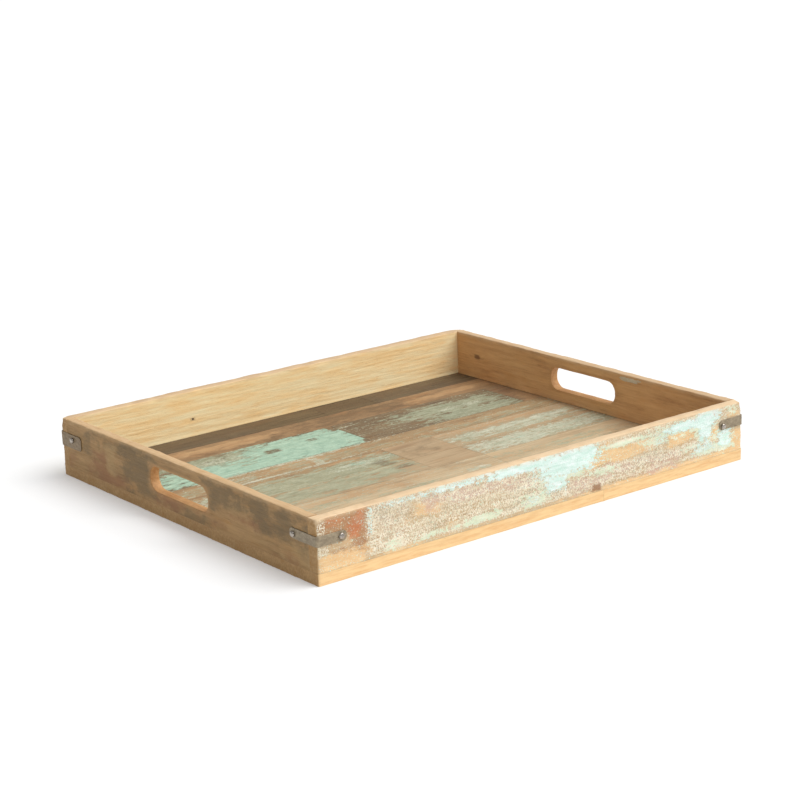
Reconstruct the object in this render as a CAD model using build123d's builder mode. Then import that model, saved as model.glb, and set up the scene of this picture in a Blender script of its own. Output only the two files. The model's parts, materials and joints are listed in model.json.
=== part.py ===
from build123d import *
import os

# A shallow serving tray made of reclaimed boards: a planked floor, four walls
# that stand on it, two of them with hand holes, and a nailed steel strap round
# each corner. All sizes are in millimetres.
#
# The origin is at the middle of the underside. +X runs along the long side
# boards, -Y is the front, +Z is up.

# Overall sizes
tray_length = 500.0
tray_width = 430.0
wall_height = 47.7
floor_thickness = 10.8

# Walls
side_thickness = 11.5
end_thickness = 10.5
corner_round = 2.0
rim_ease = 1.2

# Hand holes, one through the middle of each end board
hand_hole_length = 97.0
hand_hole_height = 23.0
hand_hole_end_flat = 2.0
hand_hole_ease = 1.2

# Floor planks, from the back row to the front row: each row's width and the
# lengths of its pieces from left to right. The rows are ripped and the pieces
# cut so that together they fill the tray's width and length.
floor_rows = (
    (47.0, (286.0, 214.0)),
    (36.0, (500.0,)),
    (70.0, (262.0, 203.0, 35.0)),
    (31.0, (500.0,)),
    (47.0, (250.0, 62.0, 188.0)),
    (37.0, (250.0, 62.0, 188.0)),
    (37.0, (312.0, 188.0)),
    (45.0, (168.0, 332.0)),
    (45.0, (372.0, 128.0)),
    (35.0, (319.0, 181.0)),
)
plank_ease = 0.5
piece_names = {
    1: ("full",),
    2: ("left", "right"),
    3: ("left", "middle", "right"),
}

# Corner straps: bent steel strip, nailed once through each leg
strap_thickness = 0.8
strap_end_round = 2.0

# Each strap's name, x side, y side, the drop from the rim to its lower edge,
# its band height, and then for the leg on the side board and for the leg on the
# end board: length, nail inset from the tray's corner and nail drop from the rim.
corner_straps = (
    ("front_left", -1, -1, 24.3, 9.4, (30.5, 25.0, 19.5), (38.5, 33.5, 20.3)),
    ("front_right", 1, -1, 23.3, 9.8, (31.5, 26.5, 19.7), (38.0, 33.0, 18.9)),
    ("back_left", -1, 1, 28.1, 14.2, (32.0, 26.5, 20.7), (39.0, 22.0, 19.5)),
    ("back_right", 1, 1, 24.1, 9.6, (33.0, 27.5, 19.5), (36.5, 31.0, 18.9)),
)

# Dome-headed nails that hold the straps
nail_head_radius = 2.9
nail_head_height = 1.9
nail_shank_radius = 1.0
nail_tip_length = 2.0
nail_tip_cover = 1.5

# Countersunk screws, driven up through the floor into the walls
screw_head_radius = 3.4
screw_shank_radius = 1.6
screw_bite = 12.2
screw_tip_length = 4.0
screw_recess_width = 0.9
screw_recess_length = 3.8
screw_recess_depth = 1.3
screws_per_side = 5
side_screw_inset = 50.0
end_screw_rows = (2, 3, 8, 9)

# Headless pins that tie each side board to the ends of the end boards
pin_radius = 0.9
pin_length = 30.0
pin_cover = 1.5
pin_edge_distance = 11.5

# Worked out from the sizes above
tray_height = floor_thickness + wall_height
half_length = tray_length / 2
half_width = tray_width / 2
side_centre_y = half_width - side_thickness / 2
end_centre_x = half_length - end_thickness / 2
hand_hole_centre_z = floor_thickness + wall_height / 2
hand_hole_round = (hand_hole_height - hand_hole_end_flat) / 2
nail_shank_length = min(side_thickness, end_thickness) - nail_tip_cover
screw_length = floor_thickness + screw_bite
width_laid = sum(row_width for row_width, _ in floor_rows)
row_edges = [half_width]
for row_width, _ in floor_rows:
    row_edges.append(row_edges[-1] - row_width * tray_width / width_laid)

os.makedirs("parts", exist_ok=True)


def finish(builder, label):
    """Labels a finished piece and writes it."""
    builder.part.label = label
    export_step(builder.part, f"parts/{label}.step")


def within(locations, x_low, x_high, y_low, y_high):
    """Picks the locations that lie over a rectangle, give or take a screw head."""
    margin = screw_head_radius
    return [
        place
        for place in locations
        if x_low - margin < place.position.X < x_high + margin
        and y_low - margin < place.position.Y < y_high + margin
    ]


# One dome nail, its head's underside at z = 0 and its shank below
with BuildPart() as dome_nail:
    with BuildSketch(Plane.XZ):
        with BuildLine():
            Polyline(
                (0, nail_head_height),
                (0, -nail_shank_length),
                (nail_shank_radius, -nail_shank_length + nail_tip_length),
                (nail_shank_radius, 0),
                (nail_head_radius, 0),
            )
            TangentArc((0, nail_head_height), (nail_head_radius, 0), tangent=(1, 0))
        make_face()
    revolve(axis=Axis.Z)

# One countersunk screw, its head's top at z = 0 and its shank below
with BuildPart() as screw_body:
    with BuildSketch(Plane.XZ):
        with BuildLine():
            Polyline(
                (0, 0),
                (0, -screw_length),
                (screw_shank_radius, -screw_length + screw_tip_length),
                (screw_shank_radius, screw_shank_radius - screw_head_radius),
                (screw_head_radius, 0),
                close=True,
            )
        make_face()
    revolve(axis=Axis.Z)

with BuildPart() as floor_screw:
    add(screw_body.part)
    with BuildSketch(Plane.XY):
        Rectangle(screw_recess_length, screw_recess_width)
        Rectangle(screw_recess_width, screw_recess_length)
    extrude(amount=-screw_recess_depth, mode=Mode.SUBTRACT)

# Where the fasteners go
nail_places = []
for _, x_side, y_side, _, _, side_leg, end_leg in corner_straps:
    _, side_inset, side_drop = side_leg
    _, end_inset, end_drop = end_leg
    nail_places.append(
        Location(
            (
                x_side * (half_length - side_inset),
                y_side * (half_width + strap_thickness),
                tray_height - side_drop,
            ),
            (-90 * y_side, 0, 0),
        )
    )
    nail_places.append(
        Location(
            (
                x_side * (half_length + strap_thickness),
                y_side * (half_width - end_inset),
                tray_height - end_drop,
            ),
            (0, 90 * x_side, 0),
        )
    )

screw_pitch = (tray_length - 2 * side_screw_inset) / (screws_per_side - 1)
screw_places = [
    Location((column * screw_pitch - half_length + side_screw_inset, y, 0), (180, 0, 0))
    for y in (-side_centre_y, side_centre_y)
    for column in range(screws_per_side)
] + [
    Location((x, (row_edges[row - 1] + row_edges[row]) / 2, 0), (180, 0, 0))
    for x in (-end_centre_x, end_centre_x)
    for row in end_screw_rows
]

pin_centre_y = half_width - pin_cover - pin_length / 2
pin_places = [
    Location((x, y, z), (90, 0, 0))
    for x in (-end_centre_x, end_centre_x)
    for y in (-pin_centre_y, pin_centre_y)
    for z in (floor_thickness + pin_edge_distance, tray_height - pin_edge_distance)
]

# Floor planks, laid edge to edge from the back
for row_number, (_, piece_lengths) in enumerate(floor_rows, start=1):
    y_high, y_low = row_edges[row_number - 1 : row_number + 1]
    x_low = -half_length
    for piece_name, piece_length in zip(piece_names[len(piece_lengths)], piece_lengths):
        x_high = x_low + piece_length * tray_length / sum(piece_lengths)
        with BuildPart() as plank:
            with BuildSketch(Plane.XY):
                with Locations(((x_low + x_high) / 2, (y_low + y_high) / 2)):
                    Rectangle(x_high - x_low, y_high - y_low)
                RectangleRounded(
                    tray_length, tray_width, corner_round, mode=Mode.INTERSECT
                )
            extrude(amount=floor_thickness)
            chamfer(plank.faces().filter_by(Axis.Z).edges(), length=plank_ease)
            for place in within(screw_places, x_low, x_high, y_low, y_high):
                with Locations(place):
                    add(screw_body.part, mode=Mode.SUBTRACT)
        finish(plank, f"floor_plank_{row_number:02d}_{piece_name}")
        x_low = x_high

# Side boards, the full length of the tray, front and back
for side_name, y_side in (("front", -1), ("back", 1)):
    with BuildPart() as side_board:
        with BuildSketch(Plane.XY.offset(floor_thickness)):
            RectangleRounded(tray_length, tray_width, corner_round)
            with Locations((0, y_side * side_centre_y)):
                Rectangle(tray_length, side_thickness, mode=Mode.INTERSECT)
        extrude(amount=wall_height)
        fillet(side_board.faces().sort_by(Axis.Z)[-1].edges(), radius=rim_ease)
        with Locations(*pin_places):
            Cylinder(pin_radius, pin_length, mode=Mode.SUBTRACT)
        with Locations(*nail_places):
            add(dome_nail.part, mode=Mode.SUBTRACT)
        with Locations(*screw_places):
            add(screw_body.part, mode=Mode.SUBTRACT)
    finish(side_board, f"side_board_{side_name}")

# End boards, between the side boards, each with a hand hole
for end_name, x_side in (("left", -1), ("right", 1)):
    with BuildPart() as end_board:
        with BuildSketch(Plane.XY.offset(floor_thickness)):
            with Locations((x_side * end_centre_x, 0)):
                Rectangle(end_thickness, tray_width - 2 * side_thickness)
        extrude(amount=wall_height)
        rim_edges = end_board.faces().sort_by(Axis.Z)[-1].edges().filter_by(Axis.Y)
        fillet(rim_edges, radius=rim_ease)
        hole_plane = Plane.YZ.offset(x_side * end_centre_x)
        with BuildSketch(hole_plane):
            with Locations((0, hand_hole_centre_z)):
                RectangleRounded(hand_hole_length, hand_hole_height, hand_hole_round)
        extrude(amount=end_thickness, both=True, mode=Mode.SUBTRACT)
        hole_edges = end_board.edges(Select.LAST).filter_by(Axis.X, reverse=True)
        fillet(hole_edges, radius=hand_hole_ease)
        with Locations(*pin_places):
            Cylinder(pin_radius, pin_length, mode=Mode.SUBTRACT)
        with Locations(*nail_places):
            add(dome_nail.part, mode=Mode.SUBTRACT)
        with Locations(*screw_places):
            add(screw_body.part, mode=Mode.SUBTRACT)
    finish(end_board, f"end_board_{end_name}")

# Corner straps, bent close round the boards
for strap_name, x_side, y_side, drop, band, side_leg, end_leg in corner_straps:
    leg_x, leg_y = side_leg[0] + strap_thickness, end_leg[0] + strap_thickness
    outer_length = tray_length + 2 * strap_thickness
    outer_width = tray_width + 2 * strap_thickness
    with BuildPart() as strap:
        with BuildSketch(Plane.XY.offset(tray_height - drop)):
            RectangleRounded(outer_length, outer_width, corner_round + strap_thickness)
            RectangleRounded(tray_length, tray_width, corner_round, mode=Mode.SUBTRACT)
            with Locations(
                (x_side * (outer_length - leg_x) / 2, y_side * (outer_width - leg_y) / 2)
            ):
                Rectangle(leg_x, leg_y, mode=Mode.INTERSECT)
        extrude(amount=band)
        side_end = strap.faces().filter_by(Axis.X).sort_by(Axis.X)[0 if x_side > 0 else -1]
        end_end = strap.faces().filter_by(Axis.Y).sort_by(Axis.Y)[0 if y_side > 0 else -1]
        fillet(side_end.edges().filter_by(Axis.Y), radius=strap_end_round)
        fillet(end_end.edges().filter_by(Axis.X), radius=strap_end_round)
        with Locations(*nail_places):
            add(dome_nail.part, mode=Mode.SUBTRACT)
    finish(strap, f"corner_strap_{strap_name}")

# Fasteners: each kind is a group of separate solids
with BuildPart() as strap_nails:
    with Locations(*nail_places):
        add(dome_nail.part)
finish(strap_nails, "strap_nails")

with BuildPart() as floor_screws:
    with Locations(*screw_places):
        add(floor_screw.part)
finish(floor_screws, "floor_screws")

with BuildPart() as corner_pins:
    with Locations(*pin_places):
        Cylinder(pin_radius, pin_length)
finish(corner_pins, "corner_pins")
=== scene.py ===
"""Looks of a serving tray made of reclaimed boards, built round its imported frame."""

import json
import logging
import math
from collections.abc import Callable, Iterable, Iterator
from contextlib import contextmanager
from dataclasses import dataclass, replace
from enum import Enum

import bmesh
import bpy
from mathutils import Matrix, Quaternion, Vector


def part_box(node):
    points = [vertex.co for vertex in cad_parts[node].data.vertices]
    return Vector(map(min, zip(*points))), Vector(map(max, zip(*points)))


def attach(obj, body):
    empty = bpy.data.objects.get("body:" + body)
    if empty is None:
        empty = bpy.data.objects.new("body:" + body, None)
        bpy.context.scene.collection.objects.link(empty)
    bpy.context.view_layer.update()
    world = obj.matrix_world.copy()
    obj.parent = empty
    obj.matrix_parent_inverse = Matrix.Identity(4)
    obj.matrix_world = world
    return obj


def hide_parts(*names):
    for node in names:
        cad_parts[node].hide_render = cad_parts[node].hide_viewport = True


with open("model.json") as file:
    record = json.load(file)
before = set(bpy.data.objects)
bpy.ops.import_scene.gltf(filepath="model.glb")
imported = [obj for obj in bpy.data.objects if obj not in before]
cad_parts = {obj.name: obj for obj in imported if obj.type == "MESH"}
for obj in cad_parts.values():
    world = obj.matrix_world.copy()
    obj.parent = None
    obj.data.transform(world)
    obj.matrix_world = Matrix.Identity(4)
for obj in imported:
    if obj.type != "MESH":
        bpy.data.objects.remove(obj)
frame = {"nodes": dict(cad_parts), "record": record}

log = logging.getLogger("tray")

MM = 0.001
Point = tuple[float, float, float]
Setting = str | bool | int | float


# --------------------------------------------------------------------------
# Shader maths
# --------------------------------------------------------------------------


def linear(colour: str) -> tuple[float, float, float, float]:
    """Turns a #rrggbb screen colour into the linear colour that shaders use.

    Args:
        colour: The screen colour, such as #ffffff.

    Returns:
        Red, green, blue and alpha, from 0 to 1.
    """
    parts = [int(colour[i : i + 2], 16) / 255 for i in (1, 3, 5)]
    r, g, b = (p / 12.92 if p <= 0.04045 else ((p + 0.055) / 1.055) ** 2.4 for p in parts)
    return (r, g, b, 1.0)


class Field:
    """A value that varies over a surface, such as a mask or a height."""

    def __init__(self, shader: "Shader", socket: bpy.types.NodeSocket) -> None:
        """Wraps one output socket of a shader."""
        self.shader = shader
        self.socket = socket

    def __add__(self, other: "Field | float") -> "Field":
        """Adds two values."""
        return self.shader.math("ADD", self, other)

    def __radd__(self, other: float) -> "Field":
        """Adds a value to a number."""
        return self.shader.math("ADD", other, self)

    def __sub__(self, other: "Field | float") -> "Field":
        """Subtracts one value from another."""
        return self.shader.math("SUBTRACT", self, other)

    def __rsub__(self, other: float) -> "Field":
        """Subtracts a value from a number."""
        return self.shader.math("SUBTRACT", other, self)

    def __mul__(self, other: "Field | float") -> "Field":
        """Multiplies two values."""
        return self.shader.math("MULTIPLY", self, other)

    def __rmul__(self, other: float) -> "Field":
        """Multiplies a number by a value."""
        return self.shader.math("MULTIPLY", other, self)

    def __pow__(self, other: float) -> "Field":
        """Raises a value to a power."""
        return self.shader.math("POWER", self, other)

    def __neg__(self) -> "Field":
        """Turns a value's sign."""
        return self.shader.math("MULTIPLY", self, -1.0)

    def __abs__(self) -> "Field":
        """Drops a value's sign."""
        return self.shader.math("ABSOLUTE", self)

    def most(self, other: "Field | float") -> "Field":
        """Takes the larger of two values."""
        return self.shader.math("MAXIMUM", self, other)

    def sine(self) -> "Field":
        """Takes the sine of a value in radians."""
        return self.shader.math("SINE", self)

    def rise(self, low: float, high: float) -> "Field":
        """Goes smoothly from 0 at low to 1 at high."""
        settings = {"interpolation_type": "SMOOTHSTEP"}
        return self.shader.node("ShaderNodeMapRange", settings, {0: self, 1: low, 2: high})

    def fall(self, low: float, high: float) -> "Field":
        """Goes smoothly from 1 at low to 0 at high.

        Args:
            low: Where the value starts to fall.
            high: Where it reaches 0.

        Returns:
            The value.
        """
        settings = {"interpolation_type": "SMOOTHSTEP"}
        inputs = {0: self, 1: low, 2: high, 3: 1.0, 4: 0.0}
        return self.shader.node("ShaderNodeMapRange", settings, inputs)


Input = Field | float | tuple[float, ...]


class Shader:
    """A material whose nodes are written as Python expressions."""

    def __init__(self, name: str) -> None:
        """Starts an empty material.

        Args:
            name: The material's name.
        """
        self.material = bpy.data.materials.new(name)
        self.material.use_nodes = True
        self.tree = self.material.node_tree
        self.tree.nodes.clear()

    def node(
        self,
        kind: str,
        settings: dict[str, Setting] | None = None,
        inputs: dict[int | str, Input] | None = None,
        output: int | str = 0,
    ) -> Field:
        """Adds any node.

        Args:
            kind: The node's type, such as ShaderNodeMath.
            settings: Properties of the node, which are set first.
            inputs: Values or links of its input sockets, by number or name.
            output: Which output socket to return.

        Returns:
            The chosen output.
        """
        made = self.tree.nodes.new(kind)
        for key, value in (settings or {}).items():
            setattr(made, key, value)
        for key, value in (inputs or {}).items():
            if isinstance(value, Field):
                self.tree.links.new(value.socket, made.inputs[key])
            else:
                made.inputs[key].default_value = value
        return Field(self, made.outputs[output])

    def math(self, operation: str, first: Input, second: Input = 0.0) -> Field:
        """Adds a Math node."""
        return self.node("ShaderNodeMath", {"operation": operation}, {0: first, 1: second})

    def vector_math(self, operation: str, *values: Input) -> Field:
        """Adds a Vector Math node, and gives its number if it makes one.

        Args:
            operation: What the node works out.
            values: Its inputs, in order.

        Returns:
            A vector, or a number for a length.
        """
        output = 1 if operation == "LENGTH" else 0
        inputs = dict(enumerate(values))
        return self.node("ShaderNodeVectorMath", {"operation": operation}, inputs, output)

    def weighted(self, first: Input, share: Input, rest: Input) -> Field:
        """Gives first times share plus rest, in one node."""
        inputs = {0: first, 1: share, 2: rest}
        return self.node("ShaderNodeMath", {"operation": "MULTIPLY_ADD"}, inputs)

    def vector(self, x: Input, y: Input, z: Input) -> Field:
        """Joins three values into a vector."""
        return self.node("ShaderNodeCombineXYZ", inputs={0: x, 1: y, 2: z})

    def place(self) -> tuple[Field, Field, Field]:
        """Gives the point on the piece, in millimetres along X, Y and Z.

        Returns:
            The point's X, Y and Z.
        """
        point = self.node("ShaderNodeTexCoord", output="Object")
        return tuple(
            self.node("ShaderNodeSeparateXYZ", inputs={0: point}, output=axis) * (1 / MM)
            for axis in range(3)
        )

    def noise(self, point: Field, detail: float, rough: float) -> Field:
        """Adds smooth noise about 0, mostly between -1 and 1."""
        inputs = {"Vector": point, "Scale": 1.0, "Detail": detail, "Roughness": rough}
        return self.weighted(self.node("ShaderNodeTexNoise", inputs=inputs), 4.0, -2.0)

    def blend(self, share: Input, first: Input, second: Input) -> Field:
        """Mixes two values."""
        settings = {"data_type": "FLOAT", "clamp_factor": True}
        return self.node("ShaderNodeMix", settings, {0: share, 2: first, 3: second})

    def mix(self, share: Input, first: Input, second: Input) -> Field:
        """Mixes two colours."""
        settings = {"data_type": "RGBA", "clamp_factor": True}
        return self.node("ShaderNodeMix", settings, {0: share, 6: first, 7: second}, output=2)

    def finish(
        self,
        colour: Input,
        roughness: Input,
        height: Field,
        metallic: Input = 0.0,
    ) -> bpy.types.Material:
        """Ends the material in one Principled BSDF.

        Args:
            colour: Base colour.
            roughness: Roughness from 0 to 1.
            height: Height of the surface in millimetres.
            metallic: 1 for bare metal.

        Returns:
            The finished material.
        """
        bump = {"Strength": 1.0, "Distance": MM, "Height": height}
        shader = self.node(
            "ShaderNodeBsdfPrincipled",
            inputs={
                "Base Color": colour,
                "Roughness": roughness,
                "Metallic": metallic,
                "Normal": self.node("ShaderNodeBump", inputs=bump),
            },
        )
        return self.end(shader)

    def end(self, surface: Field) -> bpy.types.Material:
        """Links a surface to the material's output.

        Args:
            surface: The shader that covers the piece.

        Returns:
            The finished material.
        """
        output = self.tree.nodes.new("ShaderNodeOutputMaterial")
        self.tree.links.new(surface.socket, output.inputs["Surface"])
        return self.material


# --------------------------------------------------------------------------
# Finishes
# --------------------------------------------------------------------------


class Grain(Enum):
    """Which way the wood grain of a board runs."""

    ALONG_X = "x"
    ALONG_Y = "y"


class Face(Enum):
    """The good side of a board, where its paint and wear are measured."""

    FRONT = "front"
    BACK = "back"
    LEFT = "left"
    RIGHT = "right"
    TOP = "top"


@dataclass(frozen=True)
class Tone:
    """The colours of one kind of wood."""

    pale: str
    dark: str
    warm: str
    line: str


class Wood(Enum):
    """The kinds of reclaimed wood in the tray; the darkest one holds painted shade as well as its
    own colour.
    """

    HONEY = Tone("#fff2c6", "#ffd696", "#ffd28e", "#c4965a")
    PLANED = Tone("#dcbe98", "#caa57a", "#d3a370", "#aa8055")
    PINE = Tone("#f2cf98", "#deb27c", "#e8b274", "#bd8a55")
    PALE = Tone("#f2d6b0", "#dfbd92", "#ebc190", "#c0976a")
    RUBBED = Tone("#dcbb90", "#c8a274", "#d09e68", "#a67c50")
    GRIP = Tone("#d2a26c", "#b0804e", "#c48a52", "#7a5432")
    AMBER = Tone("#eabd84", "#ce9b69", "#dca66c", "#94653c")
    BISCUIT = Tone("#dac19a", "#b4956e", "#cda578", "#7e6247")
    TAN = Tone("#d6c09b", "#b79c77", "#cda778", "#836a50")
    SAND = Tone("#c4aa86", "#a88c68", "#b9936c", "#7c634a")
    OAK = Tone("#b89a70", "#967754", "#aa835a", "#624a34")
    CHESTNUT = Tone("#aa8962", "#866646", "#a27348", "#573e29")
    UMBER = Tone("#8f7a5a", "#6f5a42", "#87653f", "#43352a")
    # dark grey-brown wood, darkened partly as painted shade for the back of the floor
    SLATE = Tone("#786446", "#4d3e28", "#6f5234", "#2c2218")
    DULL = Tone("#bb9563", "#947244", "#b28246", "#5a4328")
    RUSSET = Tone("#a58a68", "#87684c", "#9a6c4c", "#583f2e")


@dataclass(frozen=True)
class Figure:
    """A noise pattern, by how often it changes in a millimetre of each direction."""

    run: float
    side: float
    deep: float
    detail: float = 4.0
    rough: float = 0.6

    def at(self, point: Field, shift: Input = (0.0, 0.0, 0.0)) -> Field:
        """Gives the pattern at a point.

        Args:
            point: The point, in millimetres.
            shift: Moves the pattern, so that no two boards are alike.

        Returns:
            A value about 0, mostly between -1 and 1.
        """
        sizes = (self.run, self.side, self.deep)
        moved = point.shader.vector_math("MULTIPLY_ADD", point, sizes, shift)
        return point.shader.noise(moved, self.detail, self.rough)


# patterns along, across and down the grain of a board
SWAY = Figure(0.007, 0.03, 0.03, 3.0, 0.55)
STREAK = Figure(0.011, 0.2, 0.2, 5.0, 0.62)
FIBRE = Figure(0.045, 0.85, 0.85, 4.0, 0.68)
HAIR = Figure(0.13, 2.7, 2.7, 2.0)
PORES = Figure(0.16, 1.9, 1.9, 1.0, 0.55)
BLOTCH = Figure(0.016, 0.04, 0.05)
HEAT = Figure(0.021, 0.06, 0.09, 3.0)
# patterns along X, Y and Z
STREAKS_X = Figure(0.05, 0.5, 0.5)
STREAKS_Y = Figure(0.5, 0.05, 0.5)
WEAR = Figure(0.07, 0.07, 0.2, 4.0, 0.55)
DIRT = Figure(0.12, 0.12, 0.3, 4.0, 0.65)
# patterns in paint, along and across a face
TINT = Figure(0.07, 0.2, 0.0, 4.0, 0.7)
# patterns in steel
CLOUD = Figure(0.22, 0.22, 0.35, 4.0, 0.65)
GRIT = Figure(1.6, 1.6, 1.6, 3.0, 0.7)
SCRAPE = Figure(0.3, 0.3, 3.0, 2.0, 0.55)


# how far the patterns move from one board, painted face or coat to the next
BOARD_STEP = 37.0
FACE_STEP = 11.0
COAT_STEP = 5.3
# marks and dirt on the wood, and a brown for dirt in the seams and painted shade
KNOT_BROWN = "#5e4029"
RUST_STAIN = "#54402e"
HOLE_DARK = "#2a1e16"
CLOUD_BROWN = "#5f523a"
# dirt in the floor's seams, and painted shade along the boards' lower edges
GRIME_AND_SHADE = "#4a3a2a"


@dataclass(frozen=True)
class Patch:
    """A soft oval on a face, in millimetres from the tray's corner."""

    along: float
    across: float
    half_along: float
    half_across: float
    amount: float = 1.0

    def shape(
        self, here: "FaceFrame", ragged: "Field | float" = 2.0, slope: float = 1.6
    ) -> Field:
        """Gives how much a point is in the patch.

        Args:
            here: The point's place on the face.
            ragged: A value about slope + 0.4 whose changes fray the patch's outline.
            slope: How steeply the patch ends.

        Returns:
            1 inside the patch, falling to 0 outside it.
        """
        shader = here.point.shader
        sizes = (1 / self.half_along, 1 / self.half_across, 0.0)
        shift = (-self.along * sizes[0], -self.across * sizes[1], 0.0)
        off = shader.vector_math("MULTIPLY_ADD", here.point, sizes, shift)
        square = shader.vector_math("MULTIPLY", off, off)
        reach = shader.vector_math("LENGTH", square) ** 0.5
        settings = {"operation": "MULTIPLY_ADD", "use_clamp": True}
        return shader.node("ShaderNodeMath", settings, {0: reach, 1: -slope, 2: ragged})


@dataclass(frozen=True)
class Coat:
    """What is left of one coat of paint or stain on the face of a board.

    Spread, speckle and print say how much the paint's edge follows broad
    flakes, fine specks and the grain of the wood below.
    """

    colour: str
    second: str
    cover: float = 0.0
    patches: tuple[Patch, ...] = ()
    flake: float = 4.0
    stretch: float = 2.5
    spread: float = 0.5
    speckle: float = 0.0
    speck: float = 1.2
    speck_stretch: float = 1.4
    printed: float = 0.12
    soft: float = 0.12
    strength: float = 1.0
    thickness: float = 0.12
    roughness: float = 0.6
    ragged: float = 0.2
    slope: float = 1.6


def stain(colour: str, second: str, *patches: Patch, strength: float = 0.75) -> Coat:
    """Describes a soft stain in the wood.

    Args:
        colour: The stain's colour.
        second: The colour that it varies to.
        patches: Where it lies.
        strength: How much of the wood it hides.

    Returns:
        The coat.
    """
    return Coat(
        colour, second, patches=patches, flake=11.0, stretch=1.7, spread=0.34, speckle=0.05,
        printed=0.2, soft=0.36, strength=strength, thickness=0.0, roughness=0.68, ragged=0.45,
        slope=0.9,
    )  # fmt: skip


@dataclass(frozen=True)
class Mark:
    """A knot, an old nail hole or a chip in the face of a board."""

    along: float
    across: float
    radius: float


@dataclass(frozen=True)
class HandHole:
    """The slot in the middle of an end board, in millimetres."""

    length: float = 97.0
    height: float = 23.0
    corner_round: float = 10.5
    middle: float = 34.65
    ease: float = 0.9


HAND_HOLE = HandHole()


@dataclass(frozen=True)
class FaceFrame:
    """The place of a point on a face: on it, across it and below it."""

    point: Field
    across: Field
    depth: Field

    @staticmethod
    def of(along: Field, across: Field, depth: Field) -> "FaceFrame":
        """Gathers the three distances and joins the first two."""
        return FaceFrame(along.shader.vector(along, across, 0.0), across, depth)


@dataclass
class Layers:
    """The surface of a board as it is built up, from bare wood to the last coat."""

    shader: Shader
    place: tuple[Field, Field, Field]
    here: FaceFrame
    colour: Field
    height: Field
    roughness: Field
    fibre: Field

    def cover(self, share: Field, colour: Input) -> None:
        """Lays a colour over a share of the surface."""
        self.colour = self.shader.mix(share, self.colour, colour)


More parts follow.
